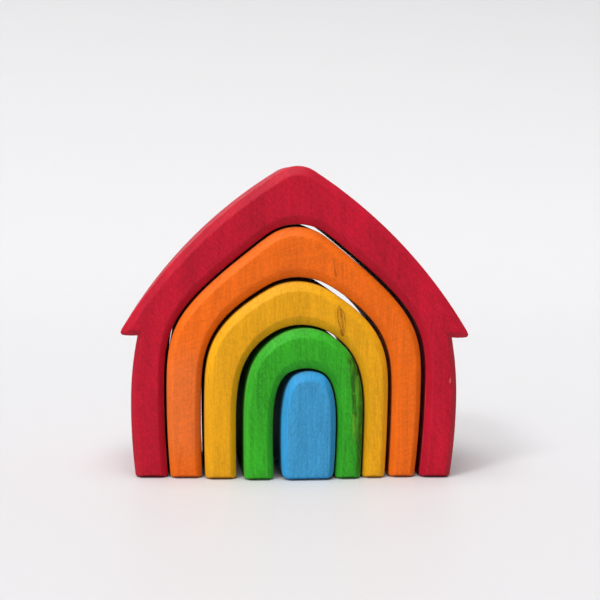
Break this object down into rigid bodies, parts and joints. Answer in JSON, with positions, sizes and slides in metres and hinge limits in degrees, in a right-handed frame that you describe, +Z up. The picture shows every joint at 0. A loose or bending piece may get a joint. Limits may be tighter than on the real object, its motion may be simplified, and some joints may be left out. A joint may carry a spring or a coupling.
{
  "type": "wooden house stacker",
  "caption": "Stained wooden house with a bowed roof, sawn into nested arches and a round-topped door block that slide out of one another, for stacking and free play.",
  "frame": {"origin": "on the floor, in the middle of the whole footprint", "axes": "+X to the house's right as seen from the front, +Y from the front to the back, +Z up"},
  "size_m": [0.2002, 0.0898, 0.179],
  "materials": {
    "red_stain": "matte red stain on sanded limewood",
    "orange_stain": "matte orange stain on sanded limewood",
    "yellow_stain": "matte golden yellow stain on sanded limewood",
    "green_stain": "matte green stain on sanded limewood",
    "blue_stain": "matte light blue stain on sanded limewood"
  },
  "bodies": {
    "house": {"red_house": "red_stain"},
    "orange": {"orange_arch": "orange_stain"},
    "yellow": {"yellow_arch": "yellow_stain"},
    "green": {"green_arch": "green_stain"},
    "door": {"blue_door": "blue_stain"}
  },
  "joints": [
    {"name": "orange_slide", "type": "slide", "parent": "house", "child": "orange", "axis": [0, -1, 0], "range_m": [-0.092, 0.092]},
    {"name": "yellow_slide", "type": "slide", "parent": "orange", "child": "yellow", "axis": [0.0141, -0.9999, 0], "range_m": [-0.092, 0.092]},
    {"name": "green_slide", "type": "slide", "parent": "yellow", "child": "green", "axis": [0.0316, -0.9995, 0], "range_m": [-0.092, 0.092]},
    {"name": "door_slide", "type": "slide", "parent": "green", "child": "door", "axis": [0.0549, -0.9985, 0], "range_m": [-0.092, 0.092]}
  ]
}
